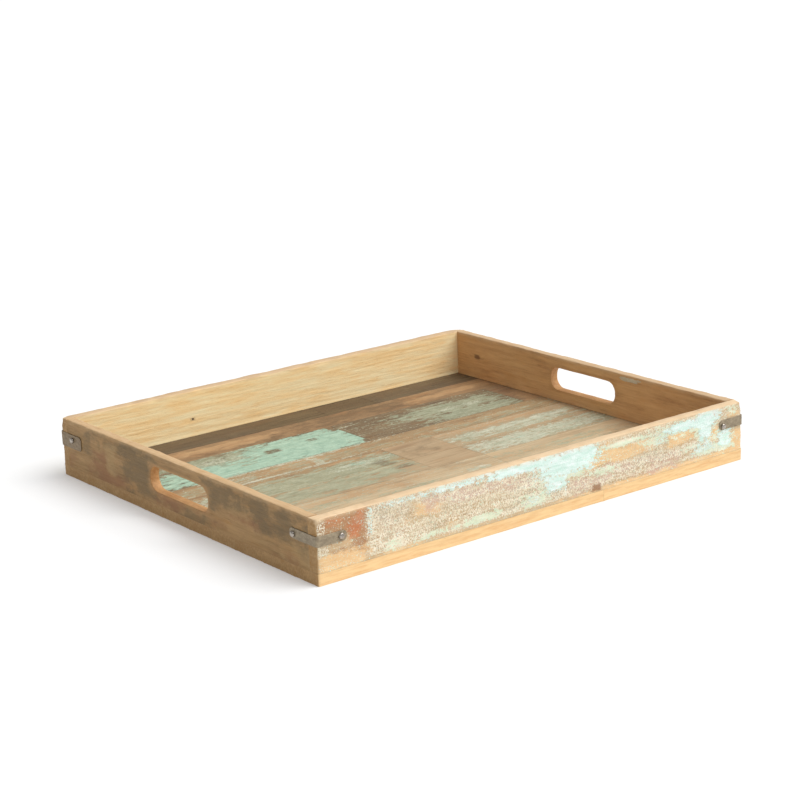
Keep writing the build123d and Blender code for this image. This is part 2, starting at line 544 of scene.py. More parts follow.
@dataclass(frozen=True)
class WoodFinish:
    """The wood of one board, with the paint and wear on its good face."""

    name: str
    wood: Tone
    face: Face
    seed: float
    grain: Grain = Grain.ALONG_X
    ring: float = 3.6
    rings: float = 0.14
    pith: float = 55.0
    coats: tuple[Coat, ...] = ()
    knots: tuple[Mark, ...] = ()
    holes: tuple[Mark, ...] = ()
    rim: Tone | None = None
    sawn: Tone | None = None
    # how strong the dirt in the floor's seams and the painted shade along the board's lower edge
    # are
    grime_and_shade: float = 0.3
    mottle: float = 0.6
    hand_hole: bool = False

    def build(self, box: "Box") -> bpy.types.Material:
        """Makes the material for a board.

        Args:
            box: The box that the board fills.

        Returns:
            The material.
        """
        shader = Shader(self.name)
        place = shader.place()
        layers = self.timber(shader, place, self.face_frame(place, box))
        self.blemish(layers)
        for number, coat in enumerate(self.coats):
            self.paint(layers, coat, number)
        self.dress_ends(layers)
        # dirt in the floor's seams, and painted shade along each board's lower edge
        self.dirty_and_shade(layers, box)
        return shader.finish(layers.colour, layers.roughness, layers.height)

    def face_frame(self, place: tuple[Field, Field, Field], box: "Box") -> FaceFrame:
        """Measures a point from the tray's corner along and across the good face.

        Args:
            place: The point's X, Y and Z in millimetres.
            box: The board's box.

        Returns:
            The point's place on the face.
        """
        x, y, z = place
        tray = Box.of_tray()
        from_left, from_back = x - tray.low[0] / MM, tray.high[1] / MM - y
        drop = tray.high[2] / MM - z
        if self.face in (Face.FRONT, Face.BACK):
            return FaceFrame.of(from_left, drop, y - box.low[1] / MM)
        if self.face in (Face.LEFT, Face.RIGHT):
            return FaceFrame.of(from_back, drop, x - box.low[0] / MM)
        return FaceFrame.of(from_left, from_back, box.high[2] / MM - z)

    def timber(
        self, shader: Shader, place: tuple[Field, Field, Field], here: FaceFrame
    ) -> Layers:
        """Makes solid wood: streaks, fibres, pores, faint rings and blotches.

        Args:
            shader: The material's nodes.
            place: The point's X, Y and Z in millimetres.
            here: The place on the good face.

        Returns:
            The bare wood's layers.
        """
        x, y, z = place
        run, side = (x, y) if self.grain is Grain.ALONG_X else (y, x)
        grain = shader.vector(run, side, z)
        shift = self.seed * BOARD_STEP
        sway = SWAY.at(grain, (shift, 0.0, 0.0))
        streak = STREAK.at(grain, shader.vector(shift, sway * 0.7, 0.0))
        fibre = FIBRE.at(grain, shader.vector(shift, sway, 0.0))
        hair = HAIR.at(grain, (0.0, shift, 0.0))
        pits = PORES.at(grain, (shift, 0.0, 0.0)).rise(0.55, 1.15)
        blotch = BLOTCH.at(grain, (0.0, shift, 0.0))
        heat = HEAT.at(grain, (shift * 2, 0.0, 0.0))
        across = side + sway * 6.0 - (self.seed % 5 - 2) * 9.0
        below = z + sway * 4.0 + self.pith
        for knot in self.knots:
            bulge = Patch(knot.along, knot.across, knot.radius * 4, knot.radius * 2.2)
            across = across + bulge.shape(here) * knot.radius * 0.8
        radius = (across * across + below * below) ** 0.5
        ring = (radius * (2 * math.pi / self.ring)).sine() * 0.5 + 0.5
        share = ring * self.rings + streak * 0.36 + fibre * 0.28 + blotch * 0.22 + 0.42
        colour = shader.mix(share, linear(self.wood.pale), linear(self.wood.dark))
        height = fibre * 0.06 - ring * 0.04 + hair * 0.03 - pits * 0.08 + streak * 0.05
        dirt = (blotch + streak * 0.4).rise(0.15, 1.3) * self.mottle
        roughness = fibre * 0.03 + 0.66 - dirt * 0.06
        layers = Layers(shader, place, here, colour, height, roughness, fibre + streak * 0.5)
        layers.cover(heat.rise(-0.1, 1.1) * 0.7, linear(self.wood.warm))
        lines = (fibre * 0.6 + hair * 0.5 + streak * 0.3 + ring * self.rings).rise(0.3, 1.25)
        for dark in (lines * 0.55, pits * 0.35, dirt * 0.5):
            layers.cover(dark, linear(self.wood.line))
        return layers

    def blemish(self, layers: Layers) -> None:
        """Adds the knots and the old nail holes.

        Args:
            layers: The surface so far, which is changed.
        """
        here = layers.here
        for knot in self.knots:
            heart = Patch(knot.along, knot.across, knot.radius * 1.6, knot.radius)
            dark = heart.shape(here, layers.fibre * 0.4 + 1.9)
            layers.cover(dark * 0.7, linear(KNOT_BROWN))
        for hole in self.holes:
            stained = Patch(hole.along, hole.across, hole.radius * 3.2, hole.radius * 1.9)
            inside = Patch(hole.along, hole.across, hole.radius, hole.radius).shape(here)
            rust = stained.shape(here, layers.fibre * 0.5 + 1.8) * 0.35
            layers.cover(rust, linear(RUST_STAIN))
            layers.cover(inside, linear(HOLE_DARK))
            layers.height = layers.height - inside * 0.5

    def paint(self, layers: Layers, coat: Coat, number: int) -> None:
        """Lays one worn coat over what is already there.

        Args:
            layers: The surface so far, which is changed.
            coat: The coat of paint or stain.
            number: Its place in the order of coats, which picks its noise.
        """
        shader, here = layers.shader, layers.here
        shift = self.seed * FACE_STEP + number * COAT_STEP
        flakes = Figure(1 / (coat.flake * coat.stretch), 1 / coat.flake, 0.0, 5.0, 0.68)
        broad = flakes.at(here.point, (0.0, 0.0, shift))
        ragged = shader.weighted(broad, coat.ragged * coat.slope, coat.slope * 0.94 + 0.5)
        level = shader.weighted(broad, coat.spread, coat.cover)
        level = shader.weighted(layers.fibre, -coat.printed, level)
        for patch in coat.patches:
            level = shader.weighted(patch.shape(here, ragged, coat.slope), patch.amount, level)
        tint = TINT.at(here.point, (0.0, shift, shift))
        if coat.speckle:
            specks = Figure(1 / coat.speck / coat.speck_stretch, 1 / coat.speck, 0.0, 2.0, 0.7)
            fine = specks.at(here.point, (0.0, 0.0, shift))
            level = shader.weighted(fine, coat.speckle, level)
            tint = shader.weighted(fine, 0.5, tint)
        mask = level.rise(0.5 - coat.soft, 0.5 + coat.soft)
        mask = mask * here.depth.fall(0.5, 1.6) * coat.strength
        share = shader.weighted(tint, 0.6, layers.fibre * 0.12 + 0.5)
        layers.cover(mask, shader.mix(share, linear(coat.colour), linear(coat.second)))
        if coat.thickness:
            layers.height = shader.weighted(mask, coat.thickness, layers.height)
            layers.roughness = shader.blend(mask, layers.roughness, coat.roughness)

    def dress_ends(self, layers: Layers) -> None:
        """Gives the rim, the hand hole and the tray's outer ends their own wood.

        Args:
            layers: The surface so far, which is changed.
        """
        here, (x, y, z) = layers.here, layers.place
        tray = Box.of_tray()
        spot = layers.shader.vector(x, y, z)
        worn = WEAR.at(spot, (0.0, 0.0, self.seed))
        streaks = STREAKS_X if self.grain is Grain.ALONG_X else STREAKS_Y
        streak = streaks.at(spot, (self.seed, 0.0, 0.0))
        weathered = self.plain(Wood.DULL.value, streak + worn * 0.7 + 0.25)
        outer_x = abs(x) - tray.size[0] / MM / 2
        if self.face in (Face.TOP, Face.FRONT, Face.BACK):
            layers.cover((outer_x + worn * 0.25).rise(-1.8, -0.7), weathered)
        if self.face is Face.RIGHT:
            cloud = worn.rise(0.0, 0.9) * 0.5
            clouded = layers.shader.mix(cloud, weathered, linear(CLOUD_BROWN))
            layers.cover((here.depth + worn * 0.3).rise(8.9, 10.1) * 0.85, clouded)
        if self.sawn is not None:
            outer_y = abs(y) - tray.size[1] / MM / 2
            edge = (outer_y + worn * 0.2).rise(-1.4, -0.6) * outer_x.fall(-0.9, -0.2)
            layers.cover(edge, self.plain(self.sawn, streak * 1.2 + worn * 0.3))
        if self.rim is not None:
            top = (here.across + worn * 0.4).fall(0.5, 1.9)
            glow = (here.across + worn * 1.6 + streak).fall(1.0, 5.0) * 0.35
            layers.cover(top.most(glow), self.plain(self.rim, streak * 0.8 + worn * 0.4))
        if self.hand_hole:
            half_y, half_z = HAND_HOLE.length / 2, HAND_HOLE.height / 2
            off_y, off_z = abs(y), abs(z - HAND_HOLE.middle)
            deep = here.depth + worn * 0.4
            inside = off_y.fall(half_y + 3.0, half_y + 4.5) * off_z.fall(half_z + 2.5, half_z + 4.0)
            inside = inside * deep.rise(0.2, 1.3) * deep.fall(9.2, 10.3)
            halo = off_y.fall(half_y - 1.0, half_y + 5.5)
            halo = halo * (off_z + worn * 1.2).fall(half_z - 1.0, half_z + 4.5)
            rubbed = inside.most(halo * (worn * 0.3 + 0.35))
            layers.cover(rubbed, self.plain(Wood.GRIP.value, streak + worn))

    @staticmethod
    def plain(tone: Tone, share: Field) -> Field:
        """Gives the colour of clean wood from one value.

        Args:
            tone: The wood's colours.
            share: The value, about -1 to 1.

        Returns:
            The colour.
        """
        mix = share.shader.mix
        colour = mix(share * 0.5 + 0.4, linear(tone.pale), linear(tone.dark))
        colour = mix(share.rise(0.1, 1.2) * 0.5, colour, linear(tone.warm))
        return mix((-share).rise(0.5, 1.5) * 0.35, colour, linear(tone.line))

    def dirty_and_shade(self, layers: Layers, box: "Box") -> None:
        """Puts a little dirt in the seams of the floor, and painted shade along the lower edge of
        each board.

        Args:
            layers: The surface so far, which is changed.
            box: The board's box.
        """
        x, y, z = layers.place
        ragged = DIRT.at(layers.shader.vector(x, y, z)) * 0.5
        if self.face is Face.TOP:
            ends = abs(x - box.centre[0] / MM) - box.size[0] / MM / 2
            sides = abs(y - box.centre[1] / MM) - box.size[1] / MM / 2
            tray = Box.of_tray().size
            out_x, out_y = abs(x) - tray[0] / MM / 2, abs(y) - tray[1] / MM / 2
            seam = (ends.most(sides) + ragged).rise(-0.7, 0.1) * layers.here.depth.fall(0.5, 3.0)
            seam = seam * out_x.fall(-10.5, -9.5) * out_y.fall(-11.5, -10.5)
            butt = (ends + ragged * 0.4).rise(-0.4, 0.0) * out_x.fall(-10.0, -8.0)
            seam = seam.most(butt * out_y.rise(-0.6, -0.3))
        else:
            # painted shade: the lowest millimetre of each board's faces is darkened where it meets
            # the floor
            seam = (box.low[2] / MM - z + ragged).rise(-1.2, 0.2) * 0.35
        layers.cover(seam * self.grime_and_shade, linear(GRIME_AND_SHADE))


@dataclass(frozen=True)
class SteelFinish:
    """Tarnished steel with rust in its low places."""

    name: str
    bright: str = "#ab9c82"
    dark: str = "#796b56"
    rust: str = "#785a3d"
    rusty: float = 0.4
    metal: float = 0.35
    polish: float = 0.0

    def build(self) -> bpy.types.Material:
        """Makes the material.

        Returns:
            The material.
        """
        shader = Shader(self.name)
        spot = shader.vector(*shader.place())
        cloud, grit, scrape = CLOUD.at(spot), GRIT.at(spot), SCRAPE.at(spot)
        colour = shader.mix(cloud * 0.5 + grit * 0.2 + 0.5, linear(self.bright), linear(self.dark))
        rust = (cloud * 0.6 + grit * 0.5 + self.rusty - 0.5).rise(0.35, 1.0)
        colour = shader.mix(rust * 0.8, colour, linear(self.rust))
        roughness = rust * 0.3 + grit * 0.06 + (0.45 - self.polish * 0.2)
        height = grit * 0.035 + cloud * 0.05 + scrape * 0.02 + rust * 0.05
        metallic = self.metal - rust * self.metal * 0.8
        return shader.finish(colour, roughness, height, metallic)


# --------------------------------------------------------------------------
# Bench: modelling operations
# --------------------------------------------------------------------------


@dataclass(frozen=True)
class Box:
    """A box in metres, by its lowest and highest corners."""

    low: Point
    high: Point

    @staticmethod
    def of(node: str) -> "Box":
        """Gives the box of a node of the frame."""
        low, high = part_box(node)
        return Box(tuple(low), tuple(high))

    @staticmethod
    def of_tray() -> "Box":
        """Gives the box of the tray's boards, without the straps and nails."""
        front, back = Box.of("side_board_front"), Box.of("side_board_back")
        return Box((front.low[0], front.low[1], 0.0), back.high)

    @property
    def centre(self) -> Vector:
        """The middle of the box."""
        return (Vector(self.low) + Vector(self.high)) / 2

    @property
    def size(self) -> Vector:
        """The box's length along each axis."""
        return Vector(self.high) - Vector(self.low)


def deselect() -> None:
    """Leaves object mode's selection empty."""
    if bpy.context.object is not None and bpy.context.object.mode != "OBJECT":
        bpy.ops.object.mode_set(mode="OBJECT")
    bpy.ops.object.select_all(action="DESELECT")


def choose(piece: bpy.types.Object) -> None:
    """Selects one piece alone and makes it active.

    Args:
        piece: The piece to select.
    """
    deselect()
    piece.select_set(True)
    bpy.context.view_layer.objects.active = piece


@contextmanager
def editing(piece: bpy.types.Object) -> Iterator[None]:
    """Works on a piece in edit mode.

    Args:
        piece: The piece to work on.

    Yields:
        Nothing. The piece is in edit mode until the block ends.
    """
    choose(piece)
    bpy.ops.object.mode_set(mode="EDIT")
    yield
    bpy.ops.object.mode_set(mode="OBJECT")


def pick(piece: bpy.types.Object, kind: str, wanted: Callable[..., bool]) -> int:
    """Selects the parts of an edited mesh that pass a test.

    Args:
        piece: The piece in edit mode.
        kind: VERT, EDGE or FACE.
        wanted: The test that each vertex, edge or face is put to.

    Returns:
        How many passed.
    """
    bpy.context.tool_settings.mesh_select_mode = tuple(kind == k for k in ("VERT", "EDGE", "FACE"))
    mesh = bmesh.from_edit_mesh(piece.data)
    for group in (mesh.verts, mesh.edges, mesh.faces):
        for item in group:
            item.select_set(False)
    group = {"VERT": mesh.verts, "EDGE": mesh.edges, "FACE": mesh.faces}[kind]
    found = [item for item in group if wanted(item)]
    for item in found:
        item.select_set(True)
    mesh.select_flush_mode()
    bmesh.update_edit_mesh(piece.data)
    return len(found)


def runs_along(edge: bmesh.types.BMEdge, axis: int) -> bool:
    """Says whether an edge is parallel to an axis."""
    return abs((edge.verts[1].co - edge.verts[0].co).normalized()[axis]) > 0.9999


def is_sharp(edge: bmesh.types.BMEdge) -> bool:
    """Says whether the faces at an edge meet at more than 35 degrees."""
    return edge.is_manifold and edge.calc_face_angle(0.0) > math.radians(35)


def middle(edge: bmesh.types.BMEdge) -> Vector:
    """Gives the middle of an edge."""
    return (edge.verts[0].co + edge.verts[1].co) / 2


def block(name: str, box: Box) -> bpy.types.Object:
    """Adds a block that fills a box.

    Args:
        name: The new piece's name.
        box: The box to fill.

    Returns:
        The block.
    """
    deselect()
    bpy.ops.mesh.primitive_cube_add(size=1.0, location=box.centre, scale=box.size)
    piece = bpy.context.object
    piece.name = piece.data.name = name
    bpy.ops.object.transform_apply(location=True, rotation=True, scale=True)
    return piece


def round_edges(
    piece: bpy.types.Object,
    wanted: Callable[[bmesh.types.BMEdge], bool],
    radius: float,
    segments: int,
) -> None:
    """Rounds the edges that pass a test, by a radius in millimetres.

    Args:
        piece: The piece to work on.
        wanted: The test that each edge is put to.
        radius: The rounding's radius.
        segments: How many flats make up the rounding.
    """
    with editing(piece):
        if pick(piece, "EDGE", wanted):
            bpy.ops.mesh.bevel(
                offset=radius * MM, segments=segments, affect="EDGES", clamp_overlap=True
            )


def rule(piece: bpy.types.Object, axis: int, step: float) -> None:
    """Divides the long edges that run along an axis, every so many millimetres.

    Args:
        piece: The piece to work on.
        axis: The axis that the edges run along.
        step: The distance between the cuts.
    """
    with editing(piece):
        mesh = bmesh.from_edit_mesh(piece.data)
        longest = max((e.calc_length() for e in mesh.edges if runs_along(e, axis)), default=0.0)
        cuts = round(longest / (step * MM)) - 1
        if cuts > 0:
            pick(
                piece,
                "EDGE",
                lambda e: runs_along(e, axis) and e.calc_length() > longest * 0.5,
            )
            bpy.ops.mesh.subdivide(number_cuts=cuts, smoothness=0.0)


def apply_modifiers(piece: bpy.types.Object) -> None:
    """Applies every modifier of a piece, in order.

    Args:
        piece: The piece to work on.
    """
    choose(piece)
    for modifier in list(piece.modifiers):
        bpy.ops.object.modifier_apply(modifier=modifier.name)


def weigh(piece: bpy.types.Object, name: str, share: Callable[[Vector], float]) -> None:
    """Marks a piece's vertices with a vertex group.

    Args:
        piece: The piece to mark.
        name: The group's name.
        share: Gives the weight at a place, which counts from 0 to 1.
    """
    group = piece.vertex_groups.new(name=name)
    for vertex in piece.data.vertices:
        weight = share(vertex.co)
        if weight > 0:
            group.add([vertex.index], min(1.0, weight), "REPLACE")


def edge_wear(gaps: Iterable[float], reach: float) -> float:
    """Says how worn a place is from its gaps to the two faces that meet at an edge."""
    return max(0.0, 1.0 - max(gaps) / (reach * MM)) ** 1.5


def clear_of(gaps: Iterable[float], reach: float = 3.0) -> float:
    """Says how clear a place is of the joints, from its gaps to them."""
    return min(gaps, default=reach * MM) / (reach * MM)


@dataclass(frozen=True)
class Rough:
    """Smooth noise in a surface: its depth and its spans along X, Y and Z, in millimetres."""

    depth: float
    spans: Point
    contrast: float = 1.4


def roughen(piece: bpy.types.Object, rough: Rough, seed: float, group: str = "") -> None:
    """Presses smooth noise into a piece's surface, which it never lifts.

    Args:
        piece: The piece to work on.
        rough: How deep and how wide the noise is.
        seed: Which noise to use.
        group: A vertex group that limits it.
    """
    texture = bpy.data.textures.new("noise", "CLOUDS")
    texture.noise_scale = 1.0
    texture.noise_depth = 3
    texture.contrast = rough.contrast
    guide = bpy.data.objects.new("guide", None)
    bpy.context.collection.objects.link(guide)
    guide.scale = [span * MM for span in rough.spans]
    guide.location = [seed * 0.31 + 0.7, seed * 0.17 - 0.4, seed * 0.23 + 0.2]
    modifier = piece.modifiers.new("rough", "DISPLACE")
    modifier.texture = texture
    modifier.texture_coords = "OBJECT"
    modifier.texture_coords_object = guide
    modifier.vertex_group = group
    modifier.mid_level = 1.0
    modifier.strength = rough.depth * MM
    bpy.context.view_layer.update()
    apply_modifiers(piece)
    bpy.data.objects.remove(guide)
    bpy.data.textures.remove(texture)


@dataclass(frozen=True)
class Weathering:
    """How a board has worn: at its edges, in its faces and along its fibres."""

    edges: Rough
    faces: Rough
    fibres: Rough

    def wear(
        self,
        piece: bpy.types.Object,
        seed: float,
        worn: Callable[[Vector], float],
        free: Callable[[Vector], float],
    ) -> None:
        """Wears a board.

        Args:
            piece: The board.
            seed: Which noise to use.
            worn: Says how worn an edge is at a place, from 0 to 1.
            free: Says how far a place is from the joints, from 0 to 1.
        """
        weigh(piece, "worn", worn)
        weigh(piece, "free", free)
        roughen(piece, self.edges, seed, "worn")
        roughen(piece, self.faces, seed + 1, "free")
        roughen(piece, self.fibres, seed + 2, "free")


def press(piece: bpy.types.Object, centre: Point, push: Point, reach: float) -> None:
    """Dents a piece: moves its surface near a point and eases what lies round it.

    Args:
        piece: The piece to dent.
        centre: The dent's middle, in millimetres.
        push: Which way and how far it goes, in millimetres.
        reach: How far round the middle it is felt, in millimetres.
    """
    spot = Vector(centre) * MM
    with editing(piece):
        if pick(piece, "VERT", lambda v: (v.co - spot).length < reach * MM * 0.3):
            bpy.ops.transform.translate(
                value=Vector(push) * MM,
                use_proportional_edit=True,
                use_proportional_connected=True,
                proportional_edit_falloff="SMOOTH",
                proportional_size=reach * MM,
            )


def cut(piece: bpy.types.Object, cutter: bpy.types.Object) -> None:
    """Cuts one piece out of another and throws the cutter away.

    Args:
        piece: The piece to cut.
        cutter: The shape that is taken away.
    """
    modifier = piece.modifiers.new("cut", "BOOLEAN")
    modifier.operation = "DIFFERENCE"
    modifier.solver = "MANIFOLD"
    modifier.object = cutter
    apply_modifiers(piece)
    bpy.data.objects.remove(cutter)


def trim(piece: bpy.types.Object, axis: int, place: float, outward: int) -> None:
    """Saws a piece flat across an axis and throws away what lies outward.

    Args:
        piece: The piece to saw.
        axis: The axis that the cut goes across.
        place: Where on the axis the cut is, in metres.
        outward: 1 to throw away the high side, -1 for the low side.
    """
    spot, normal = Vector((0.0, 0.0, 0.0)), Vector((0.0, 0.0, 0.0))
    spot[axis], normal[axis] = place, outward
    with editing(piece):
        bpy.ops.mesh.select_all(action="SELECT")
        bpy.ops.mesh.bisect(plane_co=spot, plane_no=normal, use_fill=True, clear_outer=True)


def remesh(piece: bpy.types.Object, voxel: float) -> None:
    """Gives a piece an even mesh of cells of a size in millimetres.

    Args:
        piece: The piece to work on.
        voxel: The cells' size.
    """
    choose(piece)
    piece.data.remesh_voxel_size = voxel * MM
    piece.data.use_remesh_preserve_volume = True
    bpy.ops.object.voxel_remesh()
    smooth = piece.modifiers.new("ease", "SMOOTH")
    smooth.factor = 0.5
    smooth.iterations = 2
    apply_modifiers(piece)


def hand_over(
    piece: bpy.types.Object, material: bpy.types.Material, slot: str, *nodes: str
) -> None:
    """Dresses a finished piece and puts it in the frame in place of its nodes.

    Args:
        piece: The finished piece.
        material: What it is dressed in.
        slot: The record's material slot; not used.
        nodes: The CAD nodes that it stands for.
    """
    with editing(piece):
        bpy.ops.mesh.select_all(action="SELECT")
        bpy.ops.mesh.normals_make_consistent(inside=False)
    choose(piece)
    bpy.ops.object.shade_smooth_by_angle(angle=math.radians(40))
    piece.data.materials.clear()
    piece.data.materials.append(material)
    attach(piece, "root")
    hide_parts(*nodes)
    log.info("%s: %d faces", piece.name, len(piece.data.polygons))


def nodes_of(prefix: str) -> list[str]:
    """Lists the frame's nodes whose names begin in one way, in order."""
    return sorted(node for node in frame["nodes"] if node.startswith(prefix))


def islands(node: str) -> list[Box]:
    """Gives the box of each separate solid in a node of the frame.

    Args:
        node: The CAD node.

    Returns:
        The boxes, from left to right.
    """
    source = frame["nodes"][node]
    mesh = bmesh.new()
    mesh.from_mesh(source.data)
    bmesh.ops.remove_doubles(mesh, verts=mesh.verts, dist=0.001 * MM)
    left = set(mesh.verts)
    boxes = []
    while left:
        stack = [left.pop()]
        points = []
        while stack:
            vertex = stack.pop()
            points.append(vertex.co.copy())
            for edge in vertex.link_edges:
                other = edge.other_vert(vertex)
                if other in left:
                    left.remove(other)
                    stack.append(other)
        low = tuple(min(p[axis] for p in points) for axis in range(3))
        high = tuple(max(p[axis] for p in points) for axis in range(3))
        boxes.append(Box(low, high))
    mesh.free()
    return sorted(boxes, key=lambda b: b.low)


# --------------------------------------------------------------------------
# The tray's boards
# --------------------------------------------------------------------------


@dataclass
class SideBoards:
    """The front and back boards, which run the tray's full length."""

    corner_round: float = 2.4
    corner_wear: float = 0.9
    edge_round: float = 1.0
    dent_reach: float = 8.0
    wear_reach: float = 4.0
    end_board: float = 10.6
    step_along: float = 2.4
    step_across: float = 0.95
    weathering: Weathering = Weathering(
        edges=Rough(0.9, (14.0, 9.0, 9.0), 1.8),
        faces=Rough(0.4, (60.0, 40.0, 22.0)),
        fibres=Rough(0.28, (45.0, 1.7, 1.7), 1.8),
    )

    def make(self, name: str, node: str, finish: WoodFinish, outward: int) -> None:
        """Makes one side board.

        Args:
            name: The new piece's name.
            node: The CAD node that it stands for.
            finish: Its wood and paint.
            outward: -1 for the front board and 1 for the back board.
        """
        box = Box.of(node)
        piece = block(name, box)
        middle_y = box.centre[1]
        foot = box.low[2] + MM
        round_edges(
            piece,
            lambda e: runs_along(e, 2) and (middle(e)[1] - middle_y) * outward > 0,
            self.corner_round,
            4,
        )
        round_edges(
            piece,
            lambda e: is_sharp(e) and middle(e)[2] > foot and not runs_along(e, 2),
            self.edge_round,
            2,
        )
        rule(piece, 0, self.step_along)
        rule(piece, 2, self.step_across)
        rule(piece, 1, self.step_across)
        outer_y, inner_y = (box.low[1], box.high[1])[::-outward]
        for end_x in (box.low[0], box.high[0]):
            inward = -math.copysign(self.corner_wear, end_x)
            press(
                piece,
                (end_x / MM, outer_y / MM, box.high[2] / MM),
                (inward, -outward * self.corner_wear, -self.corner_wear),
                self.dent_reach,
            )

        def worn(at: Vector) -> float:
            """Wears the rim and the outer upright edges.

            Args:
                at: The place.

            Returns:
                How worn it is.
            """
            end, out = box.high[0] - abs(at.x), abs(outer_y - at.y)
            sides = min(end, out, abs(inner_y - at.y))
            edges = ((end, out), (box.high[2] - at.z, sides))
            return max(edge_wear(gaps, self.wear_reach) for gaps in edges)

        def free(at: Vector) -> float:
            """Keeps the joints with the floor and the end boards tight.

            Args:
                at: The place.

            Returns:
                How clear it is of the joints.
            """
            gaps = [at.z - box.low[2]]
            if box.high[0] - abs(at.x) < self.end_board * MM:
                gaps.append(abs(at.y - inner_y))
            return clear_of(gaps)

        self.weathering.wear(piece, finish.seed, worn, free)
        hand_over(piece, finish.build(box), SLOTS[node], node)

    def build(self) -> None:
        """Makes both side boards."""
        self.make("front_board_worn", "side_board_front", FRONT_BOARD, -1)
        self.make("back_board_worn", "side_board_back", BACK_BOARD, 1)


@dataclass
class EndBoards:
    """The two end boards, each with a hand hole."""

    edge_round: float = 1.0
    wear_reach: float = 3.5
    voxel: float = 1.05
    spare: float = 3.0
    weathering: Weathering = Weathering(
        edges=Rough(1.1, (9.0, 14.0, 9.0), 1.8),
        faces=Rough(0.5, (40.0, 60.0, 22.0)),
        fibres=Rough(0.26, (1.8, 45.0, 1.8), 1.8),
    )

    def make(self, name: str, node: str, finish: WoodFinish) -> None:
        """Makes one end board.

        Args:
            name: The new piece's name.
            node: The CAD node that it stands for.
            finish: Its wood.
        """
        box = Box.of(node)
        spare = Vector((0.0, self.spare * MM, self.spare * MM))
        low, high = Vector(box.low) - spare, Vector(box.high) + spare
        piece = block(name, Box(tuple(low), (high.x, high.y, box.high[2])))
        cut(piece, self.hole_cutter(box))
        round_edges(
            piece,
            lambda e: is_sharp(e) and abs(middle(e)[1]) < HAND_HOLE.length * MM * 0.52,
            HAND_HOLE.ease,
            3,
        )
        round_edges(
            piece,
            lambda e: runs_along(e, 1) and middle(e)[2] > box.high[2] - MM,
            self.edge_round,
            2,
        )
        remesh(piece, self.voxel)
        trim(piece, 2, box.low[2], -1)
        trim(piece, 1, box.low[1], -1)
        trim(piece, 1, box.high[1], 1)

        def rim_worn(at: Vector) -> float:
            """Wears the rim."""
            sides = min(at.x - box.low[0], box.high[0] - at.x)
            return edge_wear((box.high[2] - at.z, sides), self.wear_reach)

        def free(at: Vector) -> float:
            """Keeps the joints with the floor and the side boards tight."""
            return clear_of((at.z - box.low[2], at.y - box.low[1], box.high[1] - at.y))

        self.weathering.wear(piece, finish.seed, rim_worn, free)
        hand_over(piece, finish.build(box), SLOTS[node], node)

    def hole_cutter(self, box: Box) -> bpy.types.Object:
        """Makes the round-ended block that cuts a hand hole.

        Args:
            box: The board's box.

        Returns:
            The block.
        """
        centre = box.centre
        half = Vector((box.size[0], HAND_HOLE.length * MM / 2, HAND_HOLE.height * MM / 2))
        cutter = block("cutter", Box(tuple(centre - half), tuple(centre + half)))
        round_edges(cutter, lambda e: runs_along(e, 0), HAND_HOLE.corner_round, 8)
        return cutter

    def build(self) -> None:
        """Makes both end boards."""
        self.make("left_board_worn", "end_board_left", LEFT_BOARD)
        self.make("right_board_worn", "end_board_right", RIGHT_BOARD)


